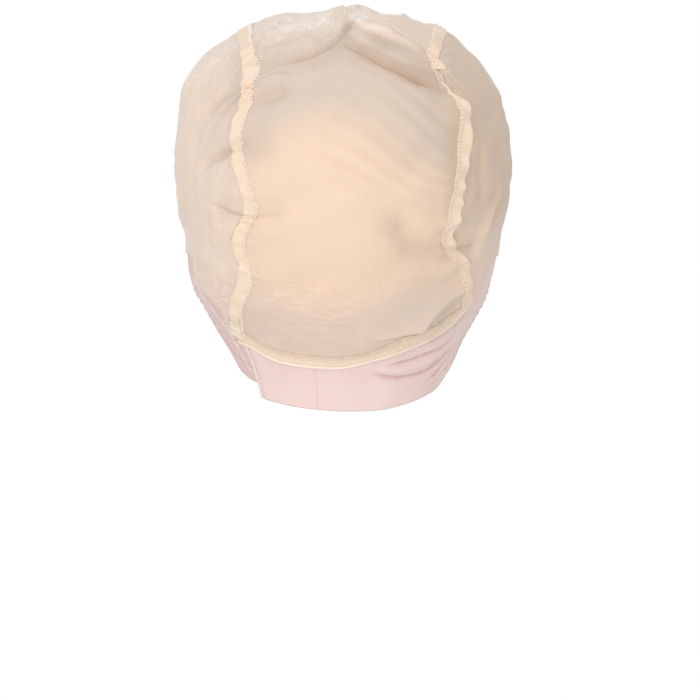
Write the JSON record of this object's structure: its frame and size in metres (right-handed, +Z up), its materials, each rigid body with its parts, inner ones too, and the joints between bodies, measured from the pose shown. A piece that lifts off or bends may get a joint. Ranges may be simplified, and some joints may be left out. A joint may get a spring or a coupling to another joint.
{
  "type": "wig cap",
  "caption": "Worn-form net wig cap: a domed net of panels taped at the seams, on a soft pink grip band that laps and fastens at the nape.",
  "frame": {"origin": "inside the crown, where the cap bears on the top of the head", "axes": "+Z up out of the crown, +Y the way the wearer faces, +X to the wearer's right"},
  "size_m": [0.1588, 0.1952, 0.1899],
  "materials": {
    "net_fine": "fine stretch net, matte",
    "net_sheer": "sheer stretch net, matte",
    "seam_tape": "woven tape, matte, stitched along both edges",
    "hem_tape": "soft edging tape, matte",
    "band_cloth": "smooth silky stretch cloth",
    "hook_pad": "hook-and-loop pad"
  },
  "bodies": {
    "root": {"net_center": "net_fine", "net_left": "net_sheer", "net_right": "net_sheer", "tape_left": "seam_tape", "tape_right": "seam_tape", "hem_tape": "hem_tape", "grip_band": "band_cloth", "hook_pad": "hook_pad"}
  },
  "joints": []
}
